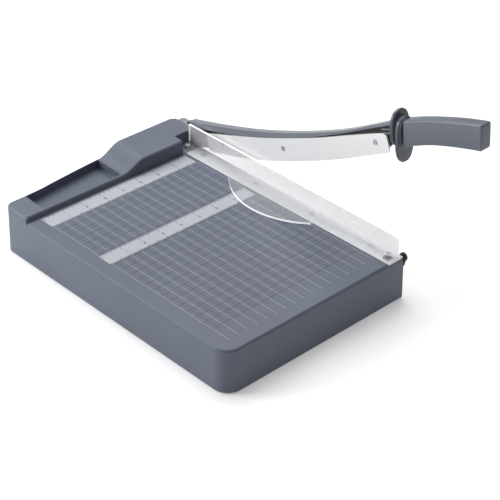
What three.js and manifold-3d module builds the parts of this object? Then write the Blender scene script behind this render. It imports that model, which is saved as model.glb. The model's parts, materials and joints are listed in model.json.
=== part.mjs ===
// A desktop guillotine paper cutter: a moulded base with a ruled board, a steel cutting strip,
// a clear sprung guard, and a curved blade arm that hinges at the back of the right side.
// Millimetres. +X is the blade side, +Y the back, +Z up. The origin is the centre of the
// underside of the bottom cover. The arm is drawn lying shut and then raised to its rest angle.
import * as THREE from "three";
import { mergeVertices } from "three/addons/utils/BufferGeometryUtils.js";
import Module from "manifold-3d";

const wasm = await Module();
wasm.setup();

// ---- driving dimensions -------------------------------------------------------------------
const GAP = 0.3; // kept between pieces that touch
const BASE = { left: -123.5, right: 124.8, front: -184.2, back: 183.2 };
const BOARD_TOP = 49.5; // height of the board over the underside
const SHELL = 3; // wall of the moulding
const FLARE = 1.3; // how far the walls lean out towards the floor
const EDGE_ROUND = 3; // rounding of the board's outer edges
const HEAD = { front: 134.8, low: 56, high: 66.5, rampStart: 12, rampEnd: 44, endRound: 6 };
const TILT = { low: 1.5, high: 3.5 }; // how much higher the head's top is at the back
const BOW = { start: 8, left: -112, leftBack: 173.6, corner: 9 }; // the back edge's bend to the left
const TRAY = { left: -97.5, right: 10, front: 138.6, floor: 46.4, rim: 2.6, corner: 2.4, slope: 10 };
const NOTCH = { left: 98.9, back: 149 }; // where the clear guard tucks into the head
const PIVOT_HOLLOW = { left: 54, low: 40 }; // inside the pivot block
const RIBS_X = [-45, 39]; // middle lines of the ribs under the board
const RIBS_Y = [-90, 58];
const RIB = { half: 1, low: 28, left: -115, right: 110, front: -175, back: 132 };
const LEDGER = { left: 102.8, right: 124.9, front: -183.6, back: 134.2, thick: 2 };
const LEDGER_X = 115.5; // line of the strip's screws
const LEDGER_SCREWS_Y = [-148, -60, 30, 118];
const COVER = { thick: 2.8, inset: 3.5 };
const COVER_SCREWS = [[-104, -158], [96, -158], [-108, 0], [96, 0], [-100, 150], [88, 108]];
const COVER_SCREW = { r: 1.5, hole: 1.9, head: 3.3, low: 0.2 };
const FEET = [[-100, -135], [98, -135], [-100, 128], [98, 135]];
const FOOT = { r: 9, drop: 1.5, seat: 1 };
const PIVOT = { y: 166.5, z: 51.5, bolt: 4 };
const PIVOT_HOLE = PIVOT.bolt + 0.25; // in the rings on the bolt
const TENSION_SPRING = { r: 5.6, wire: 0.8, left: 107.6, right: 116.6, turns: 4 };
const LOCK_NUT = { left: 99, right: 105.6, r: 7 };
const INNER_WASHER = { left: 116.9, right: 118.3, r: 8 };
const NUT_WASHER = { left: 105.9, right: 107.3, r: 8 };
const BRACKET = { left: 118.7, right: 121.4, front: 157.5, back: 178, low: 41, top: 63 };
const BRACKET_LIP = { thick: 1.7, left: 108 };
const REST_ANGLE = 20; // degrees that the arm stands above shut
const BLADE_X = [125.25, 127.25];
const CORE_X = [127.55, 130.05];
const CAP_X = [125.1, 133.6];
const BOLT_HEAD_X = CAP_X[1] - 1.2; // underside of the bolt's head, sunk in the arm's eye
const GRIP_X = [121, 136];
const EYE_R = 19.2; // round end of the arm about the pivot
const EYE_HOLE = 9.6; // in the capping, round the bolt's head
const EYE_STEP = { from: -30, to: 44, w: 11.5 }; // the capping is thinner below this step
const TANG = { low: 11, high: 22, end: 455 };
const STOP = { y: -181.3, z: 47, r: 4.8, screwY: -180.3, screwZ: 38.5 };
const GUARD = { left: 99.8, right: 121.8, front: -181.6, back: 148.2, low: 50.8, thick: 2.5 };
const GUARD_WALL = { frontTop: 73.2, backTop: 75.6 };
const TAB = { reach: 28.5, halfLength: 67.5, middleY: -10.5, blend: 9, sweep: 0.84 };
const GUARD_SPRING = { r: 3.1, wire: 0.45, low: 41.3, turns: 4 };
const GUARD_SCREWS = [["front", 111.5, -173.5], ["rear", 111.5, 141.5]];
const BLADE_SCREWS = [[72, -8], [177, -9.5], [323.5, 3.2]];
const GRIP_SCREWS = [[388, 16.5], [440, 16.5]];
const HAND_GUARD = { u: 363.5, w: 11.3, lean: 15.5 };
const GUARD_PLATES = [
  { middle: 7.5, halfHeight: 19.8, halfWidth: 13, from: -8.2, to: -3.8 }, // towards the arm
  { middle: 5.5, halfHeight: 15.5, halfWidth: 10.4, from: -4.4, to: -1 }, // neck between the two
  { middle: -3.6, halfHeight: 24.9, halfWidth: 12.4, from: -1.6, to: 4 }, // towards the hand
];
const PLATE_SQUARENESS = 0.8; // 1 is an ellipse, less is nearer to a box
const GRIP_ROUND = 2.2;
const TALL = 90; // clears everything above the board

// ---- solids -------------------------------------------------------------------------------
const rad = THREE.MathUtils.degToRad;
const v2 = (a, b) => new THREE.Vector2(a, b);

function solid(geometry) {
  const g = geometry.clone();
  g.deleteAttribute("normal");
  g.deleteAttribute("uv");
  const m = mergeVertices(g, 1e-4);
  return new wasm.Manifold(
    new wasm.Mesh({
      numProp: 3,
      vertProperties: m.attributes.position.array,
      triVerts: new Uint32Array(m.index.array),
    }),
  );
}

function box(x0, x1, y0, y1, z0, z1) {
  const g = new THREE.BoxGeometry(x1 - x0, y1 - y0, z1 - z0);
  return solid(g.translate((x0 + x1) / 2, (y0 + y1) / 2, (z0 + z1) / 2));
}

function rodZ(x, y, z0, z1, r, sides = 20, top = r) {
  const g = new THREE.CylinderGeometry(top, r, z1 - z0, sides).rotateX(Math.PI / 2);
  return solid(g.translate(x, y, (z0 + z1) / 2));
}

function rodX(y, z, x0, x1, r, sides = 20, end = r) {
  const g = new THREE.CylinderGeometry(r, end, x1 - x0, sides).rotateZ(Math.PI / 2);
  return solid(g.translate((x0 + x1) / 2, y, z));
}

// The same outline as one polygon, without the doubled points where its curves meet.
function outlineOf(shape, steps) {
  const points = shape.getPoints(steps);
  return new THREE.Shape(
    points.filter((p, i) => p.distanceTo(points[(i + 1) % points.length]) > 1e-3),
  );
}

function extruded(shape, options) {
  const o = { bevelEnabled: false, curveSegments: 6, ...options };
  return new THREE.ExtrudeGeometry(outlineOf(shape, o.curveSegments), o);
}

// A plan drawn as (x, y), extruded upwards.
function upright(shape, z0, z1, options = {}) {
  return extruded(shape, { depth: z1 - z0, ...options }).translate(0, 0, z0);
}

// A side profile drawn as (y, z), extruded along X.
function sideways(shape, x0, x1, options = {}) {
  const g = extruded(shape, { depth: x1 - x0, ...options });
  g.applyMatrix4(new THREE.Matrix4().set(0, 0, 1, x0, 1, 0, 0, 0, 0, 1, 0, 0, 0, 0, 0, 1));
  return g;
}

function polygon(points) {
  return new THREE.Shape(points.map(([a, b]) => v2(a, b)));
}

// A smooth line through a few (u, w) points of the arm, u forward of the pivot and w up.
function armLine(points, steps) {
  const curve = new THREE.SplineCurve(points.map(([u, w]) => v2(-u, w)));
  return curve.getPoints(steps).map((p) => [p.x, p.y]);
}

const armPoint = ([u, w]) => [-u, w];

const cross = (x, y, z, r, depth) =>
  box(x - r, x + r, y - 0.5, y + 0.5, z - depth, z + 1).add(
    box(x - 0.5, x + 0.5, y - r, y + r, z - depth, z + 1),
  );

const crossX = (x, y, z, r, depth) =>
  box(x - depth, x + 1, y - r, y + r, z - 0.5, z + 0.5).add(
    box(x - depth, x + 1, y - 0.5, y + 0.5, z - r, z + r),
  );

// ---- scene graph --------------------------------------------------------------------------
const root = new THREE.Group();
const arm = new THREE.Group();
arm.position.set(0, PIVOT.y, PIVOT.z);
arm.rotation.x = -rad(REST_ANGLE);
root.add(arm);

const CLEAR = { color: 0xeef2f4, roughness: 0.1, opacity: 0.35 };
const material = {
  shell: () => new THREE.MeshStandardMaterial({ color: 0x757b86, roughness: 0.5 }),
  grey: () => new THREE.MeshStandardMaterial({ color: 0x6b7380, roughness: 0.45 }),
  black: () => new THREE.MeshStandardMaterial({ color: 0x111214, roughness: 0.6 }),
  rubber: () => new THREE.MeshStandardMaterial({ color: 0x161616, roughness: 0.9 }),
  steel: () => new THREE.MeshStandardMaterial({ color: 0xcfd2d6, roughness: 0.3, metalness: 1 }),
  brass: () => new THREE.MeshStandardMaterial({ color: 0xb08d4a, roughness: 0.35, metalness: 1 }),
  clear: () => new THREE.MeshStandardMaterial({ ...CLEAR, transparent: true }),
};

function place(name, shape, kind, parent = root) {
  const m = shape.getMesh();
  const g = new THREE.BufferGeometry();
  g.setAttribute("position", new THREE.BufferAttribute(new Float32Array(m.vertProperties), 3));
  g.setIndex(new THREE.BufferAttribute(new Uint32Array(m.triVerts), 1));
  g.computeVertexNormals();
  const mesh = new THREE.Mesh(g, material[kind]());
  mesh.name = name;
  parent.add(mesh);
}

// ---- base ---------------------------------------------------------------------------------
const smooth = (t) => t * t * (3 - 2 * t);
const ramp = (x) =>
  smooth(THREE.MathUtils.clamp((x - HEAD.rampStart) / (HEAD.rampEnd - HEAD.rampStart), 0, 1));

// The back edge from the right to the left corner, moved in by some distance.
function backEdge(s, inset, left, corner) {
  const back = BASE.back - inset;
  s.lineTo(BOW.start, back);
  s.quadraticCurveTo(-50, back - 5, BOW.left + 37, BOW.leftBack - inset + 1);
  s.quadraticCurveTo(BOW.left + 14, BOW.leftBack - inset, left + corner, BOW.leftBack - inset);
  s.quadraticCurveTo(left, BOW.leftBack - inset, left, BOW.leftBack - inset - corner);
}

// The base seen from above.
function basePlan(inset) {
  const [l, r] = [BASE.left + inset, BASE.right - inset];
  const [f, b] = [BASE.front + inset, BASE.back - inset];
  const corner = Math.max(18 - inset, 3);
  const s = new THREE.Shape();
  s.moveTo(l + corner, f);
  s.lineTo(r, f);
  s.lineTo(r, b - 7);
  s.absarc(r - 7, b - 7, 7, 0, Math.PI / 2, false);
  backEdge(s, inset, l, BOW.corner);
  s.lineTo(l, f + corner);
  s.absarc(l + corner, f + corner, corner, Math.PI, 1.5 * Math.PI, false);
  return s;
}

function flared(geometry) {
  const p = geometry.attributes.position;
  for (let i = 0; i < p.count; i += 1) {
    const lean = FLARE * Math.max(0, 1 - p.getZ(i) / BOARD_TOP);
    if (p.getX(i) < 0) p.setX(i, p.getX(i) - lean);
    p.setY(i, p.getY(i) + Math.sign(p.getY(i)) * lean);
  }
  return geometry;
}

// A block of the base's plan with a rounded top edge, standing on the underside.
function planBlock(inset, top, round) {
  const below = 2 * round;
  const bevel = { bevelEnabled: round > 0, bevelThickness: round, bevelSize: round };
  const g = upright(basePlan(inset), -below, top - round, {
    ...bevel,
    bevelOffset: -round,
    bevelSegments: 3,
  });
  return solid(flared(g)).subtract(box(-200, 200, -250, 250, -40, 0));
}

// The raised part along the back: low with a tray on the left, a block for the pivot on the right.
function headBlock() {
  const { front, low, high, endRound } = HEAD;
  const section = new THREE.Shape();
  section.moveTo(front - 0.2, 40);
  section.lineTo(front, BOARD_TOP);
  section.lineTo(front + 0.8, low - 3);
  section.quadraticCurveTo(front + 1.2, low, front + 4, low);
  section.lineTo(BASE.back - 3.5, low);
  section.quadraticCurveTo(BASE.back, low, BASE.back + 0.4, low - 4);
  section.lineTo(BASE.back + 2, 40);
  const g = sideways(section, -130, 130, { steps: 40, curveSegments: 3 });
  const p = g.attributes.position;
  for (let i = 0; i < p.count; i += 1) {
    if (p.getZ(i) < BOARD_TOP + 0.5) continue;
    const rise = ramp(p.getX(i));
    const back = (p.getY(i) - front) / (BASE.back - front);
    const tilt = TILT.low + (TILT.high - TILT.low) * rise;
    p.setZ(i, p.getZ(i) + (high - low) * rise + tilt * back);
  }
  const lowPart = planBlock(0, low + TILT.low, endRound).intersect(box(-200, 0, -250, 250, 0, TALL));
  const highPart = planBlock(0, TALL, 0).intersect(box(0, 200, -250, 250, 0, TALL));
  return solid(g).intersect(lowPart.add(highPart));
}

function trayPocket() {
  const { left, right, front, floor, rim, corner } = TRAY;
  const s = new THREE.Shape();
  s.moveTo(left + corner, front);
  s.lineTo(right - corner, front);
  s.quadraticCurveTo(right, front, right, front + corner);
  s.lineTo(right, BASE.back - rim);
  backEdge(s, rim, left, corner);
  s.lineTo(left, front + corner);
  s.quadraticCurveTo(left, front, left + corner, front);
  const round = 1.2;
  const bevel = { bevelEnabled: true, bevelThickness: round, bevelSize: round, bevelOffset: -round };
  const fine = { bevelSegments: 2, curveSegments: 4 };
  const pocket = solid(upright(s, floor + round, TALL, { ...bevel, ...fine }));
  const slope = polygon([
    [front - 5, floor - 5],
    [front + TRAY.slope, floor - 5],
    [front + TRAY.slope, floor],
    [front, HEAD.low],
    [front - 5, HEAD.low],
  ]);
  return pocket.subtract(solid(sideways(slope, left - 5, right + 5)));
}

// The space inside: under the board, and up into the pivot block round the notch.
function hollows() {
  const under = BOARD_TOP - SHELL;
  const trayFloor = TRAY.floor - SHELL;
  const aroundTray = [TRAY.left - SHELL, TRAY.right + SHELL, TRAY.front - SHELL, 200];
  const main = planBlock(SHELL, under, 0)
    .subtract(box(...aroundTray, trayFloor, 60))
    .subtract(box(LEDGER.left - SHELL, 130, -200, NOTCH.back - 4, under - 3.5, 60));
  const { left, low } = PIVOT_HOLLOW;
  const top = HEAD.high - SHELL;
  const right = BASE.right - SHELL;
  const behindNotch = box(left, right, NOTCH.back + SHELL, BASE.back - 4, low, top);
  const besideNotch = box(left, NOTCH.left - SHELL, HEAD.front + 4, NOTCH.back + 4, low, top);
  return main.add(behindNotch).add(besideNotch);
}

// Ribs under the board and bosses for the screws.
function ribsAndBosses() {
  const under = BOARD_TOP - SHELL + 0.5;
  const { half, low, left, right, front, back } = RIB;
  const stopBlock = box(110, BASE.right - 1, BASE.front + 1, BASE.front + 9, 30, 46);
  return wasm.Manifold.union([
    ...RIBS_X.map((x) => box(x - half, x + half, front, back, low, under)),
    ...RIBS_Y.map((y) => box(left, right, y - half, y + half, low, under)),
    ...COVER_SCREWS.map(([x, y]) => rodZ(x, y, COVER.thick + 0.6, under - 0.45, 4.6, 10)),
    ...LEDGER_SCREWS_Y.map((y) => rodZ(LEDGER_X, y, 34, 45, 4.5, 10)),
    ...GUARD_SCREWS.map(([, x, y]) => rodZ(x, y, 28, BOARD_TOP - 1, 7, 12)),
    stopBlock,
  ]);
}

function baseHousing() {
  let s = planBlock(0, BOARD_TOP, EDGE_ROUND).add(headBlock());
  s = s.subtract(trayPocket());
  s = s.subtract(hollows()).add(ribsAndBosses());
  s = s.subtract(box(NOTCH.left, 130, HEAD.front - 4, NOTCH.back, BOARD_TOP, TALL));
  const stripStep = BOARD_TOP - LEDGER.thick - 0.2;
  s = s.subtract(box(LEDGER.left - GAP, 130, -200, HEAD.front - 0.2, stripStep, 60));
  for (const [x, y] of COVER_SCREWS) s = s.subtract(rodZ(x, y, 0, 16, COVER_SCREW.hole, 8));
  for (const y of LEDGER_SCREWS_Y) s = s.subtract(rodZ(LEDGER_X, y, 36, 60, 1.9, 8));
  for (const [, x, y] of GUARD_SCREWS) {
    s = s.subtract(rodZ(x, y, 32, 60, 2.1, 12)).subtract(rodZ(x, y, 41, 60, 4.6, 20));
  }
  s = s.subtract(rodX(PIVOT.y, PIVOT.z, 115, 130, PIVOT.bolt + GAP));
  s = s.subtract(rodX(STOP.screwY, STOP.screwZ, 113, 130, 1.7, 12));
  return s.subtract(box(BASE.right, 200, -250, 250, -1, 100));
}
place("base_housing", baseHousing(), "shell");

function bottomCover() {
  let s = planBlock(COVER.inset, COVER.thick, 0);
  for (const [x, y] of COVER_SCREWS) {
    s = s.subtract(rodZ(x, y, -1, 5, COVER_SCREW.hole, 8));
    s = s.subtract(rodZ(x, y, -1, 2, COVER_SCREW.head + 0.6, 12));
  }
  for (const [x, y] of FEET) s = s.subtract(rodZ(x, y, -1, FOOT.seat, FOOT.r + GAP, 20));
  return s;
}
place("bottom_cover", bottomCover(), "shell");

COVER_SCREWS.forEach(([x, y], i) => {
  const { r, head, low } = COVER_SCREW;
  const screw = rodZ(x, y, low, low + 1.5, head, 12).add(rodZ(x, y, low + 1, 12, r, 8));
  place("cover_screw_" + (i + 1), screw.subtract(cross(x, y, 0, 2, 0)), "steel");
});

["front_left", "front_right", "rear_left", "rear_right"].forEach((corner, i) => {
  const [x, y] = FEET[i];
  const low = rodZ(x, y, -FOOT.drop, 0.2, FOOT.r - 0.8, 20, FOOT.r);
  place("rubber_foot_" + corner, low.add(rodZ(x, y, 0.1, FOOT.seat - GAP, FOOT.r, 20)), "rubber");
});

// ---- cutting strip and guard --------------------------------------------------------------
function cuttingStrip() {
  const top = BOARD_TOP + 0.1;
  let s = box(LEDGER.left, LEDGER.right, LEDGER.front, LEDGER.back, top - LEDGER.thick, top);
  for (const y of LEDGER_SCREWS_Y) {
    s = s.subtract(rodZ(LEDGER_X, y, 40, 60, 1.9, 12));
    s = s.subtract(rodZ(LEDGER_X, y, top - 1.5, top + 0.1, 2.2, 16, 3.9));
  }
  const [, x, y] = GUARD_SCREWS[0];
  return s.subtract(rodZ(x, y, 40, 60, 4.6, 20));
}
place("cutting_strip", cuttingStrip(), "steel");

LEDGER_SCREWS_Y.forEach((y, i) => {
  const top = BOARD_TOP;
  const head = rodZ(LEDGER_X, y, top - 1.35, top, 1.7, 16, 3.4);
  const screw = head.add(rodZ(LEDGER_X, y, 38, top - 1.2, 1.5, 8));
  place("strip_screw_" + (i + 1), screw.subtract(cross(LEDGER_X, y, top, 2, 0.7)), "steel");
});

// The clear guard: a flange over the strip, a half-round press tab, and an upright wall.
function clearGuard() {
  const { left, right, front, back, low, thick } = GUARD;
  const { reach, halfLength, middleY, blend } = TAB;
  const [y0, y1] = [middleY - halfLength, middleY + halfLength];
  const r = (halfLength ** 2 + reach ** 2) / (2 * reach);
  const half = Math.asin(halfLength / r) * TAB.sweep;
  const centreX = left - reach + r;
  const plan = new THREE.Shape();
  plan.moveTo(left, front);
  plan.lineTo(right, front);
  plan.lineTo(right, back);
  plan.lineTo(left, back);
  plan.lineTo(left, y1 + blend);
  plan.quadraticCurveTo(left, y1, centreX - r * Math.cos(half), middleY + r * Math.sin(half));
  plan.absarc(centreX, middleY, r, Math.PI - half, Math.PI + half);
  plan.quadraticCurveTo(left, y0, left, y0 - blend);
  const flange = solid(upright(plan, low, low + thick, { curveSegments: 16 }));
  const side = new THREE.Shape();
  side.moveTo(front, low);
  side.lineTo(back, low);
  side.lineTo(back, GUARD_WALL.backTop);
  side.lineTo(front + 6, GUARD_WALL.frontTop);
  side.quadraticCurveTo(front, GUARD_WALL.frontTop, front, GUARD_WALL.frontTop - 6);
  let s = flange.add(solid(sideways(side, right - thick, right)));
  for (const [, x, y] of GUARD_SCREWS) s = s.subtract(rodZ(x, y, low - 1, low + 5, 2.4, 16));
  return s;
}
place("clear_guard", clearGuard(), "clear");

class SpringCurve extends THREE.Curve {
  constructor(r, z0, z1, turns) {
    super();
    Object.assign(this, { r, z0, z1, turns });
  }
  getPoint(t, target = new THREE.Vector3()) {
    const a = 2 * Math.PI * this.turns * t;
    return target.set(this.r * Math.cos(a), this.r * Math.sin(a), this.z0 + (this.z1 - this.z0) * t);
  }
}

function coil({ r, wire, turns }, z0, z1) {
  const round = new THREE.Shape();
  round.absarc(0, 0, wire, 0, 2 * Math.PI);
  const path = new SpringCurve(r, z0 + wire, z1 - wire, turns);
  const o = { steps: turns * 10, extrudePath: path, curveSegments: 2.5 };
  return new THREE.ExtrudeGeometry(round, o);
}

for (const [end, x, y] of GUARD_SCREWS) {
  const seat = GUARD.low + GUARD.thick + 0.4;
  const head = rodZ(x, y, seat, seat + 1.8, 4.1, 24, 3.6);
  const screw = head.add(rodZ(x, y, 34, seat + 0.5, 1.7, 14));
  place("guard_screw_" + end, screw.subtract(cross(x, y, seat + 1.8, 2.4, 1)), "steel");
  const spring = solid(coil(GUARD_SPRING, GUARD_SPRING.low, GUARD.low - GAP));
  place("guard_spring_" + end, spring.translate(x, y, 0), "steel");
}

// ---- arm stop -----------------------------------------------------------------------------
function armStop() {
  const { y, z, r, screwY, screwZ } = STOP;
  const [x0, x1] = [BASE.right + GAP, 129];
  const body = new THREE.Shape();
  body.moveTo(y - r * 0.9, z - 2);
  body.lineTo(screwY - 3.4, screwZ);
  body.absarc(screwY, screwZ, 3.4, Math.PI, 2 * Math.PI, false);
  body.lineTo(y + r * 0.9, z - 2);
  const s = rodX(y, z, x0, x1, r, 28).add(solid(sideways(body, x0, x0 + 2.6)));
  return s.subtract(rodX(screwY, screwZ, 120, 140, 1.7, 14));
}
place("arm_stop_bumper", armStop(), "rubber");

const stopHead = rodX(STOP.screwY, STOP.screwZ, BASE.right + 3.2, BASE.right + 4.6, 2.8, 18);
const stopShank = rodX(STOP.screwY, STOP.screwZ, 114, BASE.right + 3.6, 1.4, 12);
const stopSlot = crossX(BASE.right + 4.6, STOP.screwY, STOP.screwZ, 1.6, 0.7);
place("arm_stop_screw", stopHead.add(stopShank).subtract(stopSlot), "steel");

// ---- pivot --------------------------------------------------------------------------------
const onPivot = (x0, x1, r, sides) => rodX(PIVOT.y, PIVOT.z, x0, x1, r, sides);
const ring = (x0, x1, outer, inner = PIVOT_HOLE) =>
  onPivot(x0, x1, outer).subtract(onPivot(x0 - 1, x1 + 1, inner));

function pivotBracket() {
  const { left, right, front, back, low, top } = BRACKET;
  const plate = box(left, right, front, back, low, top);
  const flange = box(BRACKET_LIP.left, right, front, back, top - BRACKET_LIP.thick, top);
  return plate.add(flange).subtract(onPivot(110, 130, PIVOT.bolt + GAP));
}
place("pivot_bracket", pivotBracket(), "steel");

function pivotBolt() {
  const head = onPivot(BOLT_HEAD_X, BOLT_HEAD_X + 4.6, 7, 6);
  return head.add(onPivot(LOCK_NUT.left - 2, BOLT_HEAD_X + 1, PIVOT.bolt));
}
place("pivot_bolt", pivotBolt(), "steel");

function lockNut() {
  const { left, right, r } = LOCK_NUT;
  return onPivot(left, right, r, 6).subtract(onPivot(left - 1, right + 1, PIVOT_HOLE));
}
place("pivot_lock_nut", lockNut(), "steel");

place("pivot_spacer", ring(BASE.right + GAP, CORE_X[0] - GAP, 10), "steel");
place("pivot_washer_outer", ring(CORE_X[1] + GAP, BOLT_HEAD_X - GAP, 9), "steel");
place("pivot_washer_inner", ring(INNER_WASHER.left, INNER_WASHER.right, INNER_WASHER.r), "steel");
place("pivot_washer_nut", ring(NUT_WASHER.left, NUT_WASHER.right, NUT_WASHER.r), "steel");
const tension = coil(TENSION_SPRING, TENSION_SPRING.left, TENSION_SPRING.right).rotateY(Math.PI / 2);
place("pivot_spring", solid(tension).translate(0, PIVOT.y, PIVOT.z), "steel");

// ---- arm, drawn shut, in its own frame about the pivot -------------------------------------
const CAP_TOP = [
  [22, 18.6], [45, 16], [86, 12.2], [135, 9.3],
  [190, 9.1], [240, 11.2], [290, 16.2], [359.1, 28.1],
];
const CAP_LOW = [
  [40, 8.9], [93, 4.2], [150, 2.4], [205, 3.9],
  [260, 9.3], [310, 16.6], [357.9, 23.8],
];
const BLADE_TOP = [
  [46, 4], [106, 2.6], [160, 2.2], [231, 4.9],
  [281, 9.2], [322, 12.6], [338, 13.4],
];
const BLADE_CUT = [
  [340.5, -7.2], [312, -11], [265, -17.4], [220, -21.6],
  [170, -24.2], [120, -24.4], [62, -20],
];
const CORE_LOW = [
  [40, -14.5], [90, -16.6], [150, -17], [200, -15.6],
  [250, -12], [300, -6], [333, -1.5],
];

const eyeArc = (from, to, r, steps) =>
  Array.from({ length: steps + 1 }, (_, i) => {
    const a = rad(from + ((to - from) * i) / steps);
    return [-r * Math.cos(a), r * Math.sin(a)];
  });

// The black steel core: a round eye, a long web behind the blade and a tang inside the grip.
function coreOutline() {
  return polygon([
    ...eyeArc(60, 180, EYE_R - 1.6, 10),
    ...eyeArc(190, 300, EYE_R - 1.6, 10),
    ...armLine(CORE_LOW, 14),
    armPoint([341.4, -1.5]),
    armPoint([342.6, 0.8]),
    armPoint([351.8, 0.8]),
    armPoint([353, TANG.low]),
    armPoint([TANG.end, TANG.low]),
    armPoint([TANG.end, TANG.high]),
    armPoint([356, TANG.high]),
    ...armLine([...CAP_LOW].reverse(), 14).map(([a, b]) => [a, b + 2]),
  ]);
}

function armCore() {
  let s = solid(sideways(coreOutline(), ...CORE_X));
  s = s.subtract(rodX(0, 0, 120, 140, PIVOT.bolt + 2));
  for (const [u, w] of BLADE_SCREWS) s = s.subtract(rodX(-u, w, 120, 140, 1.8, 14));
  for (const [u, w] of GRIP_SCREWS) s = s.subtract(rodX(-u, w, 120, 140, 2, 14));
  return s;
}
place("arm_core", armCore(), "black", arm);

// The grey moulded capping along the top, grooved underneath for the core.
function armCap() {
  const outline = polygon([
    ...eyeArc(62, 180, EYE_R, 12),
    ...eyeArc(192, 340, EYE_R, 12),
    ...armLine(CAP_LOW, 16),
    ...armLine([...CAP_TOP].reverse(), 18),
  ]);
  const core = solid(sideways(coreOutline(), CORE_X[0] - GAP, CORE_X[1] + GAP));
  const groove = core.add(core.translate(0, 0, GAP));
  const { from, to, w } = EYE_STEP;
  let s = solid(sideways(outline, ...CAP_X));
  s = s.subtract(box(CAP_X[0] - 1, CORE_X[1] + GAP, -to, -from, -40, w));
  s = s.subtract(groove).subtract(groove.translate(0, GAP, 0));
  s = s.subtract(rodX(0, 0, 120, 140, EYE_HOLE));
  const largestFirst = s.decompose().sort((a, b) => b.volume() - a.volume());
  return largestFirst[0];
}
place("arm_cap", armCap(), "grey", arm);

// The curved blade, countersunk for its screws.
function blade() {
  const outline = polygon([
    ...armLine(BLADE_TOP, 14),
    armPoint([341.6, 11.6]),
    armPoint([342.4, 8]),
    ...armLine(BLADE_CUT, 18),
    armPoint([46, -16]),
  ]);
  let s = solid(sideways(outline, ...BLADE_X));
  for (const [u, w] of BLADE_SCREWS) {
    s = s.subtract(rodX(-u, w, 120, 140, 1.8, 12));
    s = s.subtract(rodX(-u, w, BLADE_X[0] - 0.1, BLADE_X[0] + 1.3, 3.7, 16, 2));
  }
  return s;
}
place("blade", blade(), "steel", arm);

BLADE_SCREWS.forEach(([u, w], i) => {
  const head = rodX(-u, w, BLADE_X[0] + 0.1, BLADE_X[0] + 1.2, 3.2, 20, 1.6);
  const screw = head.add(rodX(-u, w, BLADE_X[0] + 0.9, CORE_X[1] - 0.1, 1.4, 12));
  const slot = box(BLADE_X[0], BLADE_X[0] + 0.6, -u - 2.2, -u + 2.2, w - 0.45, w + 0.45);
  place("blade_screw_" + (i + 1), screw.subtract(slot), "steel", arm);
});

place("pivot_bush", ring(CORE_X[0], CORE_X[1], PIVOT.bolt + 1.75, PIVOT.bolt + GAP), "brass");

// ---- hand guard and grip ------------------------------------------------------------------
// One oval plate of the hand guard, its thickness along Z.
function ovalPlate({ middle, halfHeight, halfWidth, from, to }) {
  const round = Math.min(1.6, (to - from) / 2 - 0.1);
  const points = Array.from({ length: 32 }, (_, i) => {
    const [c, d] = [Math.cos((i / 16) * Math.PI), Math.sin((i / 16) * Math.PI)];
    const x = halfWidth * Math.sign(c) * Math.abs(c) ** PLATE_SQUARENESS;
    return v2(x, middle + halfHeight * Math.sign(d) * Math.abs(d) ** PLATE_SQUARENESS);
  });
  const g = upright(new THREE.Shape(points), from + round, to - round, {
    bevelEnabled: true,
    bevelThickness: round,
    bevelSize: round,
    bevelOffset: -round,
    bevelSegments: 2,
  });
  return solid(g);
}

function handGuard() {
  const { u, w, lean } = HAND_GUARD;
  const [a, b, c] = GUARD_PLATES.map(ovalPlate);
  const middle = (GRIP_X[0] + GRIP_X[1]) / 2;
  const s = a.add(b).add(c).rotate([90, 0, 0]).rotate([lean, 0, 0]).translate(middle, -u, w);
  const slot = [CORE_X[0] - GAP, CORE_X[1] + GAP, -400, -300, TANG.low - GAP, TANG.high + GAP];
  return s.subtract(box(...slot));
}
place("hand_guard", handGuard(), "grey", arm);

const GRIP_TOP = [[374.6, 29.1], [395, 30.3], [425, 30.4], [450, 29.4], [475.8, 27.2]];
const GRIP_LOW = [[468.3, 0.4], [448, 2.4], [425, 3.8], [400, 4.1], [366.6, 1.2]];

function grip() {
  const outline = polygon([...armLine(GRIP_TOP, 10), ...armLine(GRIP_LOW, 10)]);
  const round = GRIP_ROUND;
  let s = solid(
    sideways(outline, GRIP_X[0] + round, GRIP_X[1] - round, {
      bevelEnabled: true,
      bevelThickness: round,
      bevelSize: round,
      bevelOffset: -round,
      bevelSegments: 3,
    }),
  );
  s = s.subtract(
    box(CORE_X[0] - GAP, CORE_X[1] + GAP, -TANG.end - 1, -300, TANG.low - GAP, TANG.high + GAP),
  );
  for (const [u, w] of GRIP_SCREWS) {
    s = s.subtract(rodX(-u, w, 124, 140, 2, 14)).subtract(rodX(-u, w, 133.4, 140, 4, 20));
  }
  return s;
}
place("grip", grip(), "grey", arm);

GRIP_SCREWS.forEach(([u, w], i) => {
  const head = rodX(-u, w, 133.7, 135.2, 3.6, 20);
  const screw = head.add(rodX(-u, w, 124.5, 134, 1.6, 12));
  place("grip_screw_" + (i + 1), screw.subtract(crossX(135.2, -u, w, 2, 0.8)), "steel", arm);
});

export default root;
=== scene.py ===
"""Looks of a desktop guillotine paper cutter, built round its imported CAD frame. Metres, +Z up."""
import json
import math

import bmesh
import bpy
from mathutils import Matrix, Vector


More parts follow.
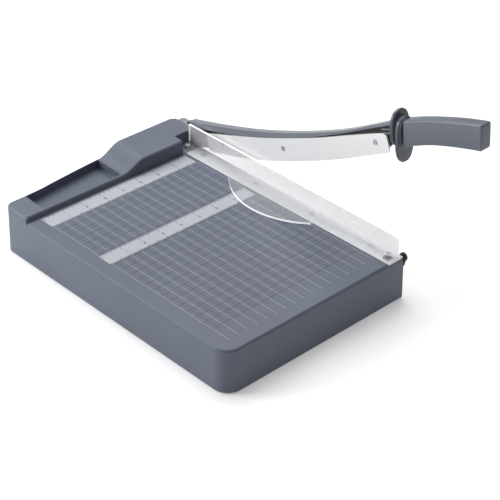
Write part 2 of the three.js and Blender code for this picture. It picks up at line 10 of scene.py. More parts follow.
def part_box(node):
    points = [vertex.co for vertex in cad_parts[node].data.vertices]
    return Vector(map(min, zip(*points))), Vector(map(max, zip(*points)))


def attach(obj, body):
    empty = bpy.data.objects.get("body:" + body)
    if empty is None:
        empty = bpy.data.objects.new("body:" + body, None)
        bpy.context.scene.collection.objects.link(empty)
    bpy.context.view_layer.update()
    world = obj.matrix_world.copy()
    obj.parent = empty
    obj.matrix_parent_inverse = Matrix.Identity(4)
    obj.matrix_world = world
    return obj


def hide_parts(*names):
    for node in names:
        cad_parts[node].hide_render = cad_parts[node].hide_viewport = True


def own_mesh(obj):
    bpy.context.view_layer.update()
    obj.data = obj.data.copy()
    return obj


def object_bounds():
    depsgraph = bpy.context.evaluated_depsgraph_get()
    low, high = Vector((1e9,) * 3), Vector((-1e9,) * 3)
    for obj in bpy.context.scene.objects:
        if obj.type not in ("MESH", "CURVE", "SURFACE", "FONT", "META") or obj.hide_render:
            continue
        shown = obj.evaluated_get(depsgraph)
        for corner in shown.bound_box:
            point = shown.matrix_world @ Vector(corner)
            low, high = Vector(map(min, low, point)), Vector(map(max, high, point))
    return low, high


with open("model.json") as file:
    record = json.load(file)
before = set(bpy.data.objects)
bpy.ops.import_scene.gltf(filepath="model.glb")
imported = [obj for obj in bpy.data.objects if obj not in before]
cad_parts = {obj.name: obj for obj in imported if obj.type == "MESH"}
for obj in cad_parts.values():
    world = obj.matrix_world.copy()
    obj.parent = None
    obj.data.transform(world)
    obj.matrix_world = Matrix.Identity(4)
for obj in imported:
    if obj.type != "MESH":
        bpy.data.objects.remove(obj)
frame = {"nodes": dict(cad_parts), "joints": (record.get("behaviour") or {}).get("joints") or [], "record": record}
CAD_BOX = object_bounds()
NODES = frame["nodes"]
MM = 0.001

# ---- measures taken from the frame ----------------------------------------------------------
STRIP_PROUD = 0.1  # the cutting strip stands this far over the board
INCH = 25.4 * MM
GAP = 0.3  # between pieces that touch
JOINTS = {joint["name"]: joint for joint in frame["joints"]}
HINGE, PRESS = JOINTS["arm_hinge"], JOINTS["guard_press"]


def spans(node):
    """From where to where a CAD node reaches along X, Y and Z, in millimetres to a micrometre."""
    return [(round(a / MM, 3), round(b / MM, 3)) for a, b in zip(*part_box(node))]


def centre_of(node):
    """The middle of a CAD node's box, in millimetres."""
    return [(a + b) / 2 for a, b in spans(node)]


BOARD_Z = (spans("cutting_strip")[2][1] - STRIP_PROUD) * MM


# ---- materials ------------------------------------------------------------------------------
def new_material(name):
    m = bpy.data.materials.new(name)
    m.use_nodes = True
    tree = m.node_tree
    tree.nodes.clear()
    out = tree.nodes.new("ShaderNodeOutputMaterial")
    shader = tree.nodes.new("ShaderNodeBsdfPrincipled")
    tree.links.new(shader.outputs[0], out.inputs[0])
    return m, tree, shader


def coordinates(tree, scale):
    """The row frame's coordinates in metres, scaled, as a socket."""
    where = tree.nodes.new("ShaderNodeTexCoord")
    mapping = tree.nodes.new("ShaderNodeMapping")
    mapping.inputs["Scale"].default_value = scale
    tree.links.new(where.outputs["Object"], mapping.inputs["Vector"])
    return mapping.outputs[0]


def noise(tree, scale, detail=4, roughness=0.55):
    n = tree.nodes.new("ShaderNodeTexNoise")
    n.inputs["Scale"].default_value = 1
    n.inputs["Detail"].default_value = detail
    n.inputs["Roughness"].default_value = roughness
    tree.links.new(coordinates(tree, scale), n.inputs["Vector"])
    return n.outputs["Fac"]


def ramp(tree, fac, stops):
    r = tree.nodes.new("ShaderNodeValToRGB")
    while len(r.color_ramp.elements) < len(stops):
        r.color_ramp.elements.new(0.5)
    for element, (at, colour) in zip(r.color_ramp.elements, stops):
        element.position = at
        element.color = (*colour, 1)
    tree.links.new(fac, r.inputs[0])
    return r.outputs[0]


def spread(tree, fac, low, high):
    r = tree.nodes.new("ShaderNodeMapRange")
    r.inputs["From Min"].default_value = 0.3
    r.inputs["From Max"].default_value = 0.7
    r.inputs["To Min"].default_value = low
    r.inputs["To Max"].default_value = high
    tree.links.new(fac, r.inputs[0])
    return r.outputs[0]


def bump(tree, shader, fac, distance, strength=1.0):
    b = tree.nodes.new("ShaderNodeBump")
    b.inputs["Strength"].default_value = strength
    b.inputs["Distance"].default_value = distance
    tree.links.new(fac, b.inputs["Height"])
    tree.links.new(b.outputs[0], shader.inputs["Normal"])


def shade(colour, factor):
    return tuple(min(1, c * factor) for c in colour)


def moulded(name, colour, rough, grain=2600, depth=0.02 * MM, specular=0.5):
    """Moulded plastic: a fine spark-eroded grain, faint flow marks and uneven gloss."""
    m, tree, shader = new_material(name)
    flow = noise(tree, (9, 14, 9), 5)
    stops = [(0.3, shade(colour, 0.94)), (0.7, shade(colour, 1.06))]
    tree.links.new(ramp(tree, flow, stops), shader.inputs["Base Color"])
    fine = noise(tree, (grain, grain, grain), 2)
    tree.links.new(spread(tree, fine, rough - 0.05, rough + 0.06), shader.inputs["Roughness"])
    bump(tree, shader, fine, depth)
    shader.inputs["Specular IOR Level"].default_value = specular
    return m


def ground_steel(name, colour, rough, scale, metallic, depth=0.004 * MM):
    """Steel with fine grinding lines along the short sides of scale."""
    m, tree, shader = new_material(name)
    lines = noise(tree, scale, 6, 0.7)
    cloud = noise(tree, (22, 22, 22), 3)
    stops = [(0.25, shade(colour, 0.86)), (0.75, shade(colour, 1.08))]
    tree.links.new(ramp(tree, lines, stops), shader.inputs["Base Color"])
    tree.links.new(spread(tree, cloud, rough - 0.05, rough + 0.07), shader.inputs["Roughness"])
    shader.inputs["Metallic"].default_value = metallic
    bump(tree, shader, lines, depth)
    return m


def plated(name, colour, rough):
    """Zinc plated steel: soft mottled crystals."""
    m, tree, shader = new_material(name)
    mottle = noise(tree, (900, 900, 900), 3)
    stops = [(0.3, shade(colour, 0.85)), (0.7, shade(colour, 1.1))]
    tree.links.new(ramp(tree, mottle, stops), shader.inputs["Base Color"])
    tree.links.new(spread(tree, mottle, rough - 0.08, rough + 0.1), shader.inputs["Roughness"])
    shader.inputs["Metallic"].default_value = 1
    bump(tree, shader, mottle, 0.006 * MM)
    return m


def acrylic(name, colour, alpha, rough, painted_glow=0.0):
    """Clear sheet: faint haze and hairline scratches; the last argument is an emission that paints a glow on a cut
    edge, standing in for the light piped to it.
    """
    m, tree, shader = new_material(name)
    haze = noise(tree, (60, 25, 60), 5)
    scratches = noise(tree, (2200, 40, 900), 3, 0.8)
    stops = [(0.35, shade(colour, 0.97)), (0.65, colour)]
    tree.links.new(ramp(tree, haze, stops), shader.inputs["Base Color"])
    tree.links.new(spread(tree, scratches, rough * 0.6, rough * 1.6), shader.inputs["Roughness"])
    tree.links.new(spread(tree, haze, alpha * 0.85, alpha * 1.15), shader.inputs["Alpha"])
    shader.inputs["IOR"].default_value = 1.49
    # painted glow: the sheet emits light in its own colour, though it is no lamp
    shader.inputs["Emission Color"].default_value = (*colour, 1)
    shader.inputs["Emission Strength"].default_value = painted_glow
    return m


# emission strength of the painted glow on the clear guard's cut edges
EDGE_PAINTED_GLOW = 0.5
SHELL_GREY = (0.104, 0.120, 0.162)
ARM_GREY = (0.122, 0.136, 0.166)
MATERIALS = {
    "base_plastic": moulded("base_plastic", SHELL_GREY, 0.44, specular=0.34),
    "cover_plastic": moulded("cover_plastic", (0.11, 0.12, 0.14), 0.55),
    "arm_plastic": moulded("arm_plastic", ARM_GREY, 0.36),
    # near-black core: its darkness is partly painted shade for the shaded recess under the capping, partly the
    # core's own dark finish
    "arm_black": moulded("arm_black", (0.012, 0.012, 0.014), 0.35, 900),
    "black_rubber": moulded("black_rubber", (0.016, 0.016, 0.017), 0.7, 1500),
    "strip_steel": ground_steel("strip_steel", (0.66, 0.67, 0.69), 0.4, (60, 2600, 60), 0.5),
    "blade_steel": ground_steel("blade_steel", (0.95, 0.95, 0.95), 0.45, (60, 60, 2600), 0.22),
    "zinc_steel": plated("zinc_steel", (0.62, 0.63, 0.65), 0.34),
    "spring_steel": plated("spring_steel", (0.45, 0.45, 0.47), 0.28),
    "bush_brass": plated("bush_brass", (0.66, 0.47, 0.20), 0.3),
    "clear_acrylic": acrylic("clear_acrylic", (0.80, 0.81, 0.83), 0.11, 0.08),
}
INKS = {
    "ruler_white": moulded("ruler_white", (0.37, 0.385, 0.42), 0.5, 1200, 0.004 * MM),
    "ruler_ink": moulded("ruler_ink", (0.02, 0.02, 0.022), 0.5, 1200, 0.004 * MM),
    "line_light": moulded("line_light", (0.36, 0.38, 0.42), 0.5, 1200, 0.004 * MM),
    "line_dark": moulded("line_dark", (0.022, 0.026, 0.036), 0.5, 1200, 0.004 * MM),
    # the guard's cut edges: a brighter, nearly opaque white with emission, a painted highlight and glow along them
    "edge_acrylic_painted_glow": acrylic("edge_acrylic_painted_glow", (0.97, 0.975, 0.98), 0.86, 0.12, EDGE_PAINTED_GLOW),
    "wall_acrylic": acrylic("wall_acrylic", (0.74, 0.75, 0.77), 0.36, 0.1),
    "cap_grey": moulded("cap_grey", (0.205, 0.220, 0.250), 0.34),
    "collar_grey": moulded("collar_grey", (0.072, 0.080, 0.102), 0.34),
    "grip_grey": moulded("grip_grey", (0.128, 0.143, 0.174), 0.33),
}


# ---- pieces ---------------------------------------------------------------------------------
def finish_piece(name, bm, body, slot, materials=None, smooth=35, replaces=()):
    """Makes a bmesh the object's piece: named, shaded, given its slot and set on its body."""
    bmesh.ops.recalc_face_normals(bm, faces=bm.faces)
    mesh = bpy.data.meshes.new(name)
    bm.to_mesh(mesh)
    bm.free()
    for p in mesh.polygons:
        p.use_smooth = True
    mesh.set_sharp_from_angle(angle=math.radians(smooth))
    o = bpy.data.objects.new(name, mesh)
    bpy.context.scene.collection.objects.link(o)
    for material in materials or [MATERIALS[slot]]:
        mesh.materials.append(material)
    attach(o, body)
    if replaces:
        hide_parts(*replaces)
    return o


def add_box(bm, x0, x1, y0, y1, z0, z1):
    """Adds a box to a bmesh."""
    corners = [(x, y, z) for z in (z0, z1) for y in (y0, y1) for x in (x0, x1)]
    v = [bm.verts.new(c) for c in corners]
    for quad in ((0, 2, 3, 1), (4, 5, 7, 6), (0, 1, 5, 4), (2, 6, 7, 3), (0, 4, 6, 2), (1, 3, 7, 5)):
        bm.faces.new([v[i] for i in quad])


def rounded(o, width, segments=2, angle=38, weight=90):
    """Gives an object soft edges where its faces meet at more than the angle."""
    bevel = o.modifiers.new("edges", "BEVEL")
    bevel.width = width
    bevel.segments = segments
    bevel.limit_method = "ANGLE"
    bevel.angle_limit = math.radians(angle)
    bevel.harden_normals = True
    normals = o.modifiers.new("normals", "WEIGHTED_NORMAL")
    normals.weight = weight


def soften(node):
    """Rounds a CAD node's hard edges and smooths its curved faces, without touching its mesh."""
    o = NODES[node]
    if "custom_normal" in o.data.attributes:
        o.data.attributes.remove(o.data.attributes["custom_normal"])
    for p in o.data.polygons:
        p.use_smooth = True
    weld = o.modifiers.new("weld", "WELD")
    weld.merge_threshold = 1e-6
    rounded(o, CARRIED_EDGE, angle=35, weight=80)


for row in frame["record"]["subparts"]:
    mesh = NODES[row["node"]].data
    mesh.materials.clear()
    mesh.materials.append(MATERIALS[row["material_slot"]])

CARRIED_EDGE = 0.22 * MM  # rounding on the CAD nodes that are shown as they are
REBUILT = ("base_housing", "arm_cap", "blade", "hand_guard", "grip", "clear_guard")
COILS = ("guard_spring_front", "guard_spring_rear", "pivot_spring")
for name in NODES:
    if name not in REBUILT + COILS:
        soften(name)


# ---- outlines and solids, drawn in millimetres ----------------------------------------------
def arc(cx, cy, r, start, end, steps):
    """Points of an arc, angles in degrees."""
    turn = [math.radians(start + (end - start) * i / steps) for i in range(steps + 1)]
    return [(cx + r * math.cos(a), cy + r * math.sin(a)) for a in turn]


def bezier(a, b, c, steps):
    """Points of a quadratic curve after its first one."""
    points = []
    for i in range(1, steps + 1):
        t = i / steps
        ka, kb, kc = (1 - t) ** 2, 2 * t * (1 - t), t * t
        points.append(tuple(ka * p + kb * q + kc * r for p, q, r in zip(a, b, c)))
    return points


def spline(points, steps):
    """A smooth line through the points, with that many steps between each two."""
    ends = [points[0], *points, points[-1]]
    out = [points[0]]
    for k in range(1, len(ends) - 2):
        p0, p1, p2, p3 = ends[k - 1 : k + 3]
        for i in range(1, steps + 1):
            t = i / steps
            ka, kb = -t + 2 * t ** 2 - t ** 3, 2 - 5 * t ** 2 + 3 * t ** 3
            kc, kd = t + 4 * t ** 2 - 3 * t ** 3, t ** 3 - t ** 2
            point = [(ka * a + kb * b + kc * c + kd * d) / 2 for a, b, c, d in zip(p0, p1, p2, p3)]
            out.append(tuple(point))
    return out


def along(points, t):
    """The point a share t of the way along a line of points, by its count."""
    s = min(max(t, 0), 1) * (len(points) - 1)
    i = min(int(s), len(points) - 2)
    return tuple(a + (b - a) * (s - i) for a, b in zip(points[i], points[i + 1]))


def height_at(line, x):
    """The second number of a line of points where its first one is x; the line goes one way."""
    ordered = sorted(line)
    if x <= ordered[0][0]:
        return ordered[0][1]
    for (x0, y0), (x1, y1) in zip(ordered, ordered[1:]):
        if x <= x1:
            return y0 if x1 - x0 < 1e-9 else y0 + (y1 - y0) * (x - x0) / (x1 - x0)
    return ordered[-1][1]


def loft(rings):
    """A closed solid through rings of 3-D points, all with the same count."""
    bm = bmesh.new()
    made = [[bm.verts.new(p) for p in ring] for ring in rings]
    for a, b in zip(made, made[1:]):
        for i in range(len(a)):
            j = (i + 1) % len(a)
            bm.faces.new((a[i], a[j], b[j], b[i]))
    bm.faces.new(made[0][::-1])
    bm.faces.new(made[-1])
    bmesh.ops.remove_doubles(bm, verts=bm.verts, dist=1e-5)
    bmesh.ops.recalc_face_normals(bm, faces=bm.faces)
    return bm


def prism_x(outline, x0, x1):
    """An outline drawn as (y, z), extruded along X."""
    return loft([[(x, y, z) for y, z in outline] for x in (x0, x1)])


def prism_z(outline, z0, z1):
    """An outline drawn as (x, y), extruded upwards."""
    return loft([[(x, y, z) for x, y in outline] for z in (z0, z1)])


def block(x0, x1, y0, y1, z0, z1):
    return prism_z([(x0, y0), (x1, y0), (x1, y1), (x0, y1)], z0, z1)


def rod_x(y, z, x0, x1, r, sides=40):
    return prism_x(arc(y, z, r, 0, 360 - 360 / sides, sides - 1), x0, x1)


def rod_z(x, y, z0, z1, r, sides=40):
    return prism_z(arc(x, y, r, 0, 360 - 360 / sides, sides - 1), z0, z1)


def temporary(bm):
    """A short-lived object that holds a bmesh."""
    mesh = bpy.data.meshes.new("part")
    bm.to_mesh(mesh)
    bm.free()
    o = bpy.data.objects.new("part", mesh)
    bpy.context.scene.collection.objects.link(o)
    return o


def combine(base, *steps):
    """Joins and cuts closed solids: steps are ("UNION" or "DIFFERENCE", solid)."""
    o = temporary(base)
    tools = []
    for operation, solid in steps:
        tool = temporary(solid)
        tools.append(tool)
        m = o.modifiers.new("cut", "BOOLEAN")
        m.operation = operation
        m.solver = "EXACT"
        m.object = tool
    evaluated = o.evaluated_get(bpy.context.evaluated_depsgraph_get())
    bm = bmesh.new()
    bm.from_mesh(evaluated.to_mesh())
    for used in (o, *tools):
        bpy.data.objects.remove(used)
    bmesh.ops.remove_doubles(bm, verts=bm.verts, dist=2e-3)
    bmesh.ops.dissolve_degenerate(bm, edges=bm.edges, dist=1e-3)
    return bm


def to_metres(bm):
    bmesh.ops.scale(bm, vec=(MM, MM, MM), verts=bm.verts)
    return bm


def spin(bm, degrees, axis):
    """Turns a bmesh about an axis through the origin."""
    turn = Matrix.Rotation(math.radians(degrees), 3, axis)
    bmesh.ops.rotate(bm, cent=(0, 0, 0), matrix=turn, verts=bm.verts)


# ---- base housing ---------------------------------------------------------------------------
FLARE = 1.3  # how far the walls lean out towards the floor
HOUSING_X, HOUSING_Y, _ = spans("base_housing")
LEFT, RIGHT = HOUSING_X[0] + FLARE, HOUSING_X[1]
FRONT, BACK = HOUSING_Y[0] + FLARE, HOUSING_Y[1] - FLARE
TOP = BOARD_Z / MM
TOP_ROUND = 3  # of the board's outer edges
FRONT_CORNER, BACK_CORNER, BOWED_CORNER = 18, 7, 9  # radii of the plan's corners
BOW_START, BOW_BACK = 8, 173.6  # where the back edge starts to bend, and where it ends
BOW_BEND, BOW_MIDDLE, BOW_FLAT = (-50, -5), (-75, 1), -98  # its bends between those two
HEAD_FRONT, HEAD_LOW, HEAD_HIGH = 134.8, 56, 66.5
HEAD_ROUND_FRONT, HEAD_ROUND_BACK = 3.6, 3
END_ROUND = 6  # of the head's left end
HEAD_ROOT = 44  # the head starts inside the board's block
SEAM = 0.05  # and stands this far inside its walls
RAMP = (12, 44)  # from where to where along X the head rises to the pivot block
TILT_LOW, TILT_HIGH = 1.5, 3.5  # how much higher the head's top is at the back
TRAY_LEFT, TRAY_RIGHT, TRAY_FRONT = -97.5, 10, 138.6
TRAY_FLOOR, TRAY_RIM, TRAY_SLOPE = 46.4, 2.6, 10
TRAY_CORNER, TRAY_FLOOR_ROUND = 2.4, 1.2
NOTCH_LEFT, NOTCH_BACK = 98.9, 149  # the head is cut away for the guard's rear end
STRIP_STEP = 2.2  # depth of the step that the cutting strip lies in
SHELL = 3  # thickness of the walls
RECESS = 8  # depth of the recess under the base
SCREW_HOLE_R, SCREW_HOLE_FLOOR = 4.6, 41
BOLT_HOLE_R, BOLT_HOLE_START = 4.3, 115
OUT_RIGHT, OUT_FRONT, OVER_BOARD, OVER_HEAD = 130, -200, 60, 90  # where cuts end, outside the base


def back_edge(inset, left, corner, steps=14):
    """The back edge from right to left: it bends forward towards the left corner."""
    straight, bow = BACK - inset, BOW_BACK - inset
    bend = (BOW_BEND[0], straight + BOW_BEND[1])
    middle = (BOW_MIDDLE[0], bow + BOW_MIDDLE[1])
    line = [(BOW_START, straight)]
    line += bezier(line[-1], bend, middle, steps)
    line += bezier(line[-1], (BOW_FLAT, bow), (left + corner, bow), 6)
    line += bezier(line[-1], (left, bow), (left, bow - corner), 10)
    return line


def base_plan(inset):
    """The base seen from above."""
    left, right, front, back = LEFT + inset, RIGHT - inset, FRONT + inset, BACK - inset
    corner = max(FRONT_CORNER - inset, TOP_ROUND)
    line = [(right, front)]
    line += arc(right - BACK_CORNER, back - BACK_CORNER, BACK_CORNER, 0, 90, 8)
    line += back_edge(inset, left, BOWED_CORNER)
    line += arc(left + corner, front + corner, corner, 180, 270, 16)
    return line


def flared(bm):
    """The walls lean out a little towards the floor."""
    for v in bm.verts:
        lean = FLARE * max(0, 1 - v.co.z / TOP)
        if v.co.x < 0:
            v.co.x -= lean
        v.co.y += math.copysign(lean, v.co.y)
    return bm


def board_block():
    steps = 7
    start = TOP - TOP_ROUND
    levels = [(z, 0) for z in (0, 12, 24, 36, start)]
    for i in range(1, steps + 1):
        a = math.radians(90 * i / steps)
        levels.append((start + TOP_ROUND * math.sin(a), TOP_ROUND * (1 - math.cos(a))))
    return flared(loft([[(x, y, z) for x, y in base_plan(inset)] for z, inset in levels]))


def ramp_at(x):
    """The share of the rise to the pivot block that is done at x."""
    t = min(max((x - RAMP[0]) / (RAMP[1] - RAMP[0]), 0), 1)
    return t * t * (3 - 2 * t)


def head_section(x, back, drop):
    """The head's profile across the base at one place, as (y, z)."""
    rise = ramp_at(x)
    low = HEAD_LOW + (HEAD_HIGH - HEAD_LOW) * rise - drop
    high = low + TILT_LOW + (TILT_HIGH - TILT_LOW) * rise
    room = low - TOP - 0.2
    front_round = min(HEAD_ROUND_FRONT, room)
    back_round = min(HEAD_ROUND_BACK, room)
    line = [(HEAD_FRONT - 0.2, HEAD_ROOT), (HEAD_FRONT, TOP)]
    line += arc(HEAD_FRONT + 0.7 + front_round, low - front_round, front_round, 180, 92, 8)
    line += arc(back - back_round, high - back_round, back_round, 88, 0, 8)
    return line + [(back, TOP), (back, HEAD_ROOT)]


def head_block():
    """The fence, the tray's rim and the pivot block, as slices from left to right."""
    left, corner = LEFT + SEAM, RIGHT - BACK_CORNER
    edge = back_edge(0, LEFT, BOWED_CORNER) + [(corner, BACK)]
    edge += arc(corner, BACK - BACK_CORNER, BACK_CORNER, 90, 30, 4)
    # Close together at the round left end, along the ramp and at the right corner.
    stations = [left + END_ROUND * (1 - math.cos(math.radians(a))) for a in range(0, 91, 10)]
    stations += [x for x, _ in edge if left < x < -90]
    stations += range(-88, 8, 8)
    stations += [RAMP[0] - 1 + 1.5 * i for i in range(24)]
    stations += range(52, 124, 8)
    stations += [corner + BACK_CORNER / 5 * i for i in range(6)]
    rings = []
    for x in sorted(stations):
        inside = max(0, END_ROUND - (x - left))
        drop = END_ROUND - math.sqrt(END_ROUND ** 2 - inside ** 2)
        back = height_at(edge, x) - SEAM
        rings.append([(x, y, z) for y, z in head_section(x, back, drop)])
    return flared(loft(rings))


def tray_cut():
    """The pencil tray, with a sloping front wall."""
    corner, floor_round, steps = TRAY_CORNER, TRAY_FLOOR_ROUND, 3
    rings = []
    for i in range(steps + 1):
        a = math.radians(90 * i / steps)
        inset = floor_round * (1 - math.sin(a))
        left, right, front = TRAY_LEFT + inset, TRAY_RIGHT - inset, TRAY_FRONT + inset
        line = arc(left + corner, front + corner, corner, 180, 270, 5)
        line += arc(right - corner, front + corner, corner, 270, 360, 5)
        line += [(right, BACK - TRAY_RIM - inset)]
        line += back_edge(TRAY_RIM + inset, left, corner)
        rings.append([(x, y, TRAY_FLOOR + floor_round * (1 - math.cos(a))) for x, y in line])
    rings.append([(x, y, OVER_HEAD) for x, y, _ in rings[-1]])
    slope = [
        (TRAY_FRONT - 5, TRAY_FLOOR - 5),
        (TRAY_FRONT + TRAY_SLOPE, TRAY_FLOOR - 5),
        (TRAY_FRONT + TRAY_SLOPE, TRAY_FLOOR),
        (TRAY_FRONT, HEAD_LOW),
        (TRAY_FRONT - 5, HEAD_LOW),
    ]
    return combine(loft(rings), ("DIFFERENCE", prism_x(slope, TRAY_LEFT - 5, TRAY_RIGHT + 5)))


def housing():
    strip_left = spans("cutting_strip")[0][0] - GAP
    cuts = [
        tray_cut(),
        block(NOTCH_LEFT, OUT_RIGHT, HEAD_FRONT - 4, NOTCH_BACK, TOP, OVER_HEAD),
        block(strip_left, OUT_RIGHT, OUT_FRONT, HEAD_FRONT - 0.2, TOP - STRIP_STEP, OVER_BOARD),
        flared(prism_z(base_plan(SHELL), -5, RECESS)),
    ]
    for end in ("front", "rear"):
        x, y, _ = centre_of("guard_screw_" + end)
        cuts.append(rod_z(x, y, SCREW_HOLE_FLOOR, OVER_BOARD, SCREW_HOLE_R))
    _, y, z = centre_of("pivot_bolt")
    cuts.append(rod_x(y, z, BOLT_HOLE_START, OUT_RIGHT, BOLT_HOLE_R))
    bm = combine(board_block(), ("UNION", head_block()), *[("DIFFERENCE", c) for c in cuts])
    o = finish_piece("housing_shell", to_metres(bm), "base", "base_plastic", replaces=["base_housing"])
    rounded(o, 0.5 * MM)


housing()


# ---- arm, drawn shut about its pivot: u forward, w up ---------------------------------------
PIVOT = Vector((0, HINGE["pos_m"][1], HINGE["pos_m"][2])) / MM
REST_ANGLE = -HINGE["range_deg"][0]  # degrees that the arm stands above shut
BLADE_X, CORE_X, CAP_X, GRIP_X = (spans(n)[0] for n in ("blade", "arm_core", "arm_cap", "grip"))
SLOT_X = (CORE_X[0] - GAP, CORE_X[1] + GAP)  # the room that the other pieces leave for the core
THROUGH = (120, 140)  # across the whole arm
TANG_SLOT = (10.7, 22.3)  # height of the slot for the core's tang in the hand guard and the grip
TANG_START, TANG_END = 300, 456
EYE_R = 19.2
EYE_HOLE_R = 9.6
CORE_EYE_R = EYE_R - 1.3
GROOVE_LOW = -14.5  # under all of the capping but its eye
TONGUE = 2.3  # how far the core reaches up into the capping
CAP_EDGE = 1.4  # rounding along the top of the capping
CAP_FLOOR, CAP_LEAST = 11.5, 12.4  # underside and least height of the capping over the eye
CAP_TOP = [
    (22, 18.6), (45, 16), (86, 12.2), (135, 9.3),
    (190, 9.1), (240, 11.2), (290, 16.2), (359.1, 28.1),
]
CAP_LOW = [
    (40, 8.9), (93, 4.2), (150, 2.4), (205, 3.9),
    (260, 9.3), (310, 16.6), (357.9, 23.8),
]
# The side of the capping that joins its eye to its long top, outside the core, as (-u, w).
SKIRT = [(-2, 12), (-9, 16.4), (-22, 17.4), (-46, 14.6), (-40, 8.9), (-18, -6.6), (-5, -12)]
WEB_RIBS, RIB_U, RIB_HALF = (13.4, 17.6), (336, 352), 0.6
BLADE_TOP = [
    (46, 4), (106, 2.6), (160, 2.2), (231, 4.9),
    (281, 9.2), (322, 12.6), (338, 13.4),
]
BLADE_CUT = [
    (46, -17.5), (62, -20), (120, -24.4), (170, -24.2),
    (220, -21.6), (265, -17.4), (312, -11), (340.5, -7.2),
]
BLADE_GRIND, BLADE_FLAT = 4.2, 0.15  # height of the ground bevel, width of the cutting edge
BLADE_SCREWS = [(72, -8), (177, -9.5), (323.5, 3.2)]
BLADE_HOLE_R = 1.8
BLADE_SINK = ((-0.15, 3.7), (1.25, 2))  # how deep in the blade, and how wide there
COLLAR_U, COLLAR_W, COLLAR_LEAN = 363.5, 11.3, 15.5
# The hand guard's plates: middle, half height, half width, start, end and rim of each.
COLLAR_FACE = (7.5, 19.8, 13, -8.2, -3.8)
COLLAR_STEPS = (
    ("UNION", (5.5, 15.5, 10.4, -5, 0)),
    ("UNION", (-3.6, 24.9, 12.4, -1.6, 2.6, 1.2)),
    ("UNION", (3.4, 16.6, 10.4, 1, 4, 1)),
    ("DIFFERENCE", (7.5, 17.4, 10.8, -9.5, -7.2, 0.5)),
    ("UNION", (7.0, 16.2, 9.6, -8.2, -6, 0.6)),
)
SQUARENESS = 0.8  # of the plates' ovals: 1 is an ellipse
GRIP_TOP = [(374.6, 29.1), (395, 30.3), (425, 30.4), (450, 29.4), (475.8, 27.2)]
GRIP_LOW = [(366.6, 1.2), (400, 4.1), (425, 3.8), (448, 2.4), (468.3, 0.4)]
GRIP_EDGE = 2.4
GRIP_SCREWS = [(388, 16.5), (440, 16.5)]
SINK_X, SINK_R = 133.4, 4  # the grip screws' heads lie in sunk holes


def raised(bm):
    """Turns an arm piece from shut to its rest angle, in place at the pivot."""
    spin(bm, -REST_ANGLE, "X")
    bmesh.ops.translate(bm, vec=PIVOT, verts=bm.verts)
    return to_metres(bm)


def arm_section(u_top, w_top, u_low, w_low, x0, x1, r, steps=5):
    """A slice across the arm between a low and a top point, its top corners rounded."""
    tall = math.hypot(u_top - u_low, w_top - w_low)
    up = ((u_top - u_low) / tall, (w_top - w_low) / tall)
    flat = [(x0, 0), (x1, 0)]
    flat += arc(x1 - r, tall - r, r, 0, 90, steps)
    flat += arc(x0 + r, tall - r, r, 90, 180, steps)
    return [(x, -(u_low + up[0] * h), w_low + up[1] * h) for x, h in flat]


def cap_strip():
    """The long top of the capping, from over the eye to the hand guard."""
    top, low = spline(CAP_TOP, 8), spline(CAP_LOW, 8)
    rings = []
    for i in range(9):
        u = -15 + i * 4.2
        w = max(math.sqrt(EYE_R ** 2 - u * u), CAP_LEAST)
        edge = min(CAP_EDGE, w - CAP_FLOOR - 0.1)
        rings.append(arm_section(u, w, u + 0.01, CAP_FLOOR, *CAP_X, edge))
    count = 40
    for i in range(count + 1):
        rings.append(arm_section(*along(top, i / count), *along(low, i / count), *CAP_X, CAP_EDGE))
    return loft(rings)


def turned_x(y, z, levels, sides):
    """A round solid about a line along X, through (x, radius) levels."""
    end = 360 - 360 / sides
    return loft([[(x, *at) for at in arc(y, z, r, 0, end, sides - 1)] for x, r in levels])


def arm_cap():
    """The capping: a long top, an eye and a side outside the core, and a groove for the core."""
    x0, x1 = SLOT_X[1], CAP_X[1]
    eye = turned_x(0, 0, [(x0, EYE_R), (x1 - 0.6, EYE_R), (x1, EYE_R - 0.7)], 60)
    core_top = [(-u, w + TONGUE) for u, w in spline(CAP_LOW, 8)]
    core_eye = arc(0, 0, CORE_EYE_R, 240, 360, 16) + arc(0, 0, CORE_EYE_R, 0, 120, 20)
    groove = [(-40, GROOVE_LOW)] + core_eye + core_top + [(-355, GROOVE_LOW)]
    bm = combine(
        cap_strip(),
        ("UNION", eye),
        ("UNION", prism_x(SKIRT, x0, x1 - 0.4)),
        ("DIFFERENCE", prism_x(groove, *SLOT_X)),
        ("DIFFERENCE", rod_x(0, 0, *THROUGH, EYE_HOLE_R)),
    )
    finish = [INKS["cap_grey"]]
    o = finish_piece("arm_capping", raised(bm), "arm", "arm_plastic", finish, replaces=["arm_cap"])
    rounded(o, 0.3 * MM)


def web_ribs():
    """Two light ribs on the black web, just behind the hand guard."""
    bm = bmesh.new()
    x0, x1 = CAP_X[0] + 0.6, CORE_X[0] + 0.1
    for w in WEB_RIBS:
        add_box(bm, x0, x1, -RIB_U[1], -RIB_U[0], w - RIB_HALF, w + RIB_HALF)
    finish_piece("web_ribs", raised(bm), "arm", "arm_plastic", [INKS["cap_grey"]], 30)


